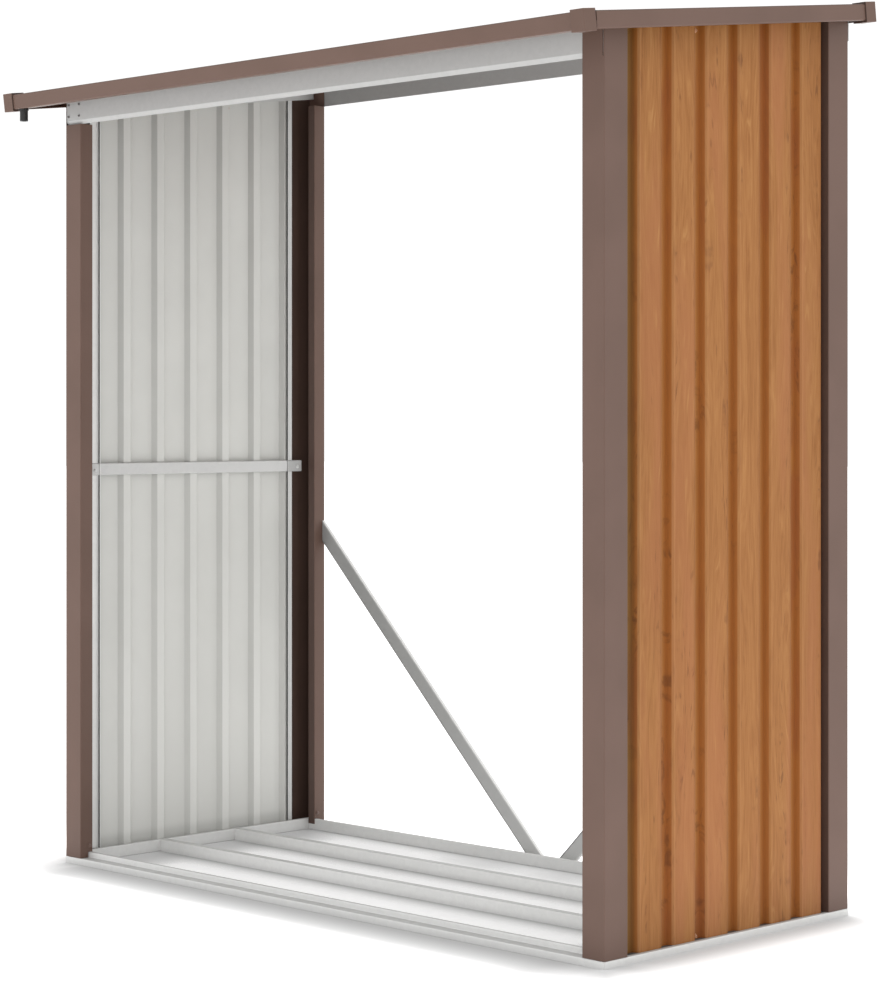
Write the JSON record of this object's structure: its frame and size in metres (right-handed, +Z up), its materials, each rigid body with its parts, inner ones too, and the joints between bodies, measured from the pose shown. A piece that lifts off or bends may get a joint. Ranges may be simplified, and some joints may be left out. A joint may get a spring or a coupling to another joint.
{
  "type": "log store",
  "caption": "Open-fronted firewood shelter with ribbed wood-print side walls, brown corner posts, a lean-to roof with a gutter, and an open base frame.",
  "frame": {"origin": "on the ground, midway between the roof's ends and between its front and back edges", "axes": "+Z up, the open front with the gutter faces -Y, +X to the right seen from the front"},
  "size_m": [1.806, 0.9038, 1.8958],
  "materials": {
    "brown_steel": "satin",
    "wood_print_steel": "satin",
    "galvanised_steel": "matte zinc",
    "brown_plastic": "satin",
    "black_plastic": "matte"
  },
  "bodies": {
    "root": {"back_fascia": "brown_steel", "back_header": "galvanised_steel", "base_back_rail": "galvanised_steel", "base_front_rail": "galvanised_steel", "base_left_rail": "galvanised_steel", "base_right_rail": "galvanised_steel", "drain_spout": "black_plastic", "floor_slat_back": "galvanised_steel", "floor_slat_front": "galvanised_steel", "front_gutter": "brown_steel", "front_header": "galvanised_steel", "left_back_cap": "brown_plastic", "left_back_edge_strip": "galvanised_steel", "left_back_post": "brown_steel", "left_brace": "galvanised_steel", "left_fascia": "brown_steel", "left_front_cap": "brown_plastic", "left_front_edge_strip": "galvanised_steel", "left_front_post": "brown_steel", "left_mid_rail": "galvanised_steel", "left_roof_panel": "brown_steel", "left_top_rail": "galvanised_steel", "left_wall": "wood_print_steel", "right_back_cap": "brown_plastic", "right_back_edge_strip": "galvanised_steel", "right_back_post": "brown_steel", "right_brace": "galvanised_steel", "right_fascia": "brown_steel", "right_front_cap": "brown_plastic", "right_front_edge_strip": "galvanised_steel", "right_front_post": "brown_steel", "right_mid_rail": "galvanised_steel", "right_roof_panel": "brown_steel", "right_top_rail": "galvanised_steel", "right_wall": "wood_print_steel"}
  },
  "joints": []
}
